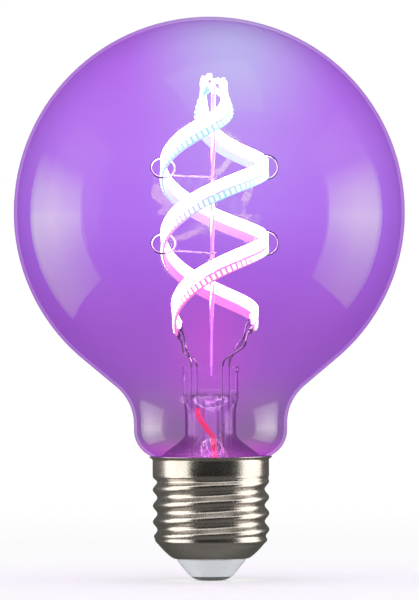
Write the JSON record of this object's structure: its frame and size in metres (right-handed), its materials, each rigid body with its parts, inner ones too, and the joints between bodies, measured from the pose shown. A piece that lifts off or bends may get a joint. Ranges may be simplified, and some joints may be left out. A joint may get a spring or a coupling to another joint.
{
  "type": "led filament globe bulb",
  "caption": "Globe bulb with a clear glass envelope, two spiral light filaments on a glass stem and a screw cap.",
  "frame": {"origin": "lowest point of the centre contact, on the axis of the screw cap", "axes": "+Z along the axis from the centre contact to the crown of the globe, +X to the right and -Y towards the viewer of the picture"},
  "size_m": [0.0882, 0.0882, 0.1273],
  "materials": {
    "envelope_glass": "clear, lit violet from inside",
    "stem_glass": "clear",
    "nickel": "satin nickel plate",
    "wire": "drawn wire",
    "white_light": "phosphor, lit",
    "pink_light": "flexible strip, lit",
    "chip_light": "chips, lit",
    "red_sleeve": "smooth sleeve",
    "pale_sleeve": "glass fibre sleeve",
    "insulator": "moulded",
    "cement": "matt",
    "contact_metal": "worn smooth",
    "board": "solder mask",
    "black_part": "moulded",
    "white_part": "moulded",
    "can_metal": "drawn can",
    "resistor_body": "lacquered"
  },
  "bodies": {
    "root": {"glass_envelope": "envelope_glass", "stem_flare": "stem_glass", "exhaust_tube": "stem_glass", "centre_post": "stem_glass", "top_bridge": "wire", "lead_sleeve": "pale_sleeve", "red_wire": "red_sleeve", "supply_wire_left": "wire", "supply_wire_inner_right": "wire", "supply_wire_outer_right": "wire", "cap_shell": "nickel", "cap_cement": "cement", "cap_insulator": "insulator", "centre_contact": "contact_metal", "driver_board": "board", "driver_liner": "white_part", "bulk_capacitor": "can_metal", "inductor": "black_part", "fusible_resistor": "resistor_body", "bridge_rectifier": "black_part", "driver_chip": "black_part", "wireless_module": "can_metal", "live_wire": "wire", "neutral_wire": "wire", "lead_left_outer": "wire", "lead_left_inner": "wire", "lead_right_inner": "wire", "lead_right_outer": "wire", "white_filament_a": "white_light", "colour_strip_a": "pink_light", "colour_chips_a": "chip_light", "top_tabs_a": "wire", "foot_tabs_a": "wire", "hook_upper_a": "wire", "hook_middle_a": "wire", "white_filament_b": "white_light", "colour_strip_b": "pink_light", "colour_chips_b": "chip_light", "top_tabs_b": "wire", "foot_tabs_b": "wire", "hook_upper_b": "wire", "hook_middle_b": "wire"}
  },
  "joints": []
}
